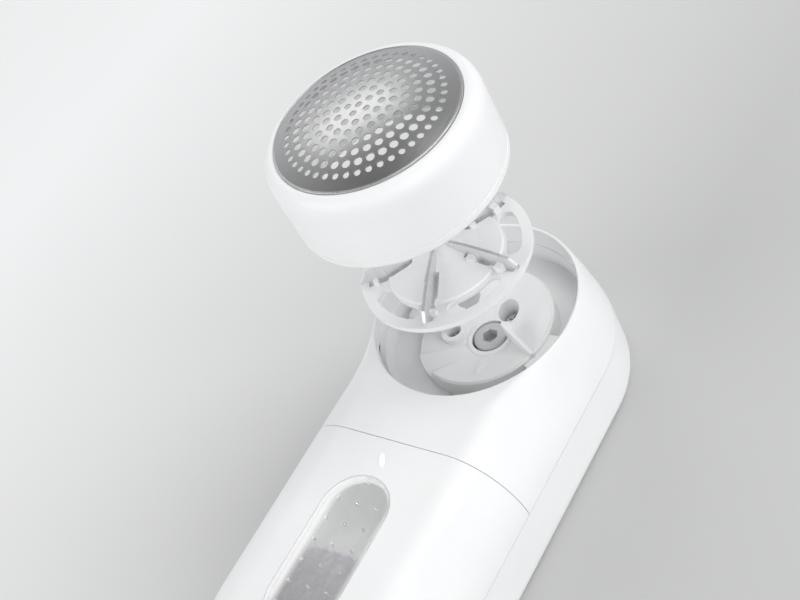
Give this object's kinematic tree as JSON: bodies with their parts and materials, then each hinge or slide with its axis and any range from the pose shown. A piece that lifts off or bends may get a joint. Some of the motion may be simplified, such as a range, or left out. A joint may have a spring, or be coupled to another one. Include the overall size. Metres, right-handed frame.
{
  "type": "fabric shaver",
  "caption": "Hand-held rechargeable fabric shaver with a lift-off perforated foil cap, a bladed cutter rotor and a slide-out lint bin with a clear window.",
  "frame": {"origin": "on the cutter head's axis, in the plane of the flat back", "axes": "+Z out of the cutter head along its axis, the handle runs along -Y, +X to the right seen from the front"},
  "size_m": [0.06, 0.144, 0.1017],
  "materials": {
    "bezel_metal": "satin",
    "black_plastic": "satin",
    "blade_steel": "ground",
    "board_green": "solder mask",
    "brass": "sintered",
    "cell_sleeve": "shrink sleeve",
    "copper": "enamelled wire",
    "ferrite": "matte",
    "foil_steel": "brushed",
    "gasket_rubber": "matte",
    "grey_plastic": "satin",
    "inner_white": "satin",
    "lamination": "stamped",
    "lens_clear": "clear moulded",
    "lint": "felted fibre",
    "mark_grey": "satin",
    "motor_steel": "plated",
    "port_metal": "plated",
    "rotor_white": "satin",
    "screw_steel": "plated",
    "shell_white": "satin gloss",
    "spring_steel": "drawn wire",
    "window_clear": "clear moulded",
    "wire_black": "insulation",
    "wire_red": "insulation"
  },
  "bodies": {
    "body": {"head_housing": "shell_white", "rear_casing": "shell_white", "chamber_cup": "inner_white", "motor_deck": "inner_white", "lint_duct": "inner_white", "battery_cradle": "inner_white", "motor_screw_long": "screw_steel", "motor_screw_short": "screw_steel", "board_screws": "screw_steel", "casing_screws": "screw_steel", "motor_can": "motor_steel", "motor_terminals": "brass", "bearing_front": "brass", "bearing_rear": "brass", "motor_magnets": "ferrite", "motor_end_cap": "black_plastic", "tact_switch": "black_plastic", "board_chips": "black_plastic", "battery": "cell_sleeve", "control_board": "board_green", "usb_port": "port_metal", "button_bezel": "bezel_metal", "duct_gasket": "gasket_rubber", "motor_leads": "wire_red", "battery_leads": "wire_black", "charge_lens": "lens_clear"},
    "cap_carrier": {"cap_seal_ring": "inner_white"},
    "cap": {"cap_ring": "shell_white", "cutter_foil": "foil_steel", "foil_retainer": "inner_white"},
    "drive": {"motor_shaft": "spring_steel", "drive_socket": "grey_plastic", "motor_armature": "lamination", "motor_windings": "copper"},
    "rotor": {"rotor_carrier": "rotor_white", "rotor_blades": "blade_steel", "rotor_spindle": "grey_plastic", "rotor_spring": "spring_steel"},
    "button": {"power_button": "shell_white"},
    "bin": {"bin_cover": "shell_white", "bin_window": "window_clear", "lint_bin": "inner_white", "lint_fluff": "lint", "release_mark": "mark_grey"}
  },
  "joints": [
    {"name": "cap_lift", "type": "slide", "parent": "body", "child": "cap_carrier", "axis": [0, 0, 1], "range_m": [-0.055, 0], "stiffness_N_per_m": 2, "springref_m": 0.064},
    {"name": "cap_twist", "type": "hinge", "parent": "cap_carrier", "child": "cap", "pos_m": [0, 0, 0.09], "axis": [0, 0, 1], "range_deg": [-20, 0]},
    {"name": "drive_spin", "type": "hinge", "parent": "body", "child": "drive", "pos_m": [0, 0, 0.02], "axis": [0, 0, 1], "continuous": true},
    {"name": "rotor_lift", "type": "slide", "parent": "drive", "child": "rotor", "axis": [0, 0, 1], "range_m": [-0.01265, 0]},
    {"name": "button_press", "type": "slide", "parent": "body", "child": "button", "axis": [0, 0, 1], "range_m": [0, 0.0008], "stiffness_N_per_m": 60},
    {"name": "bin_slide", "type": "slide", "parent": "body", "child": "bin", "axis": [0, -1, 0], "range_m": [0, 0.08]}
  ],
  "couplings": [
    {"joint": "rotor_lift", "follows": "cap_lift", "ratio": 0.23}
  ]
}
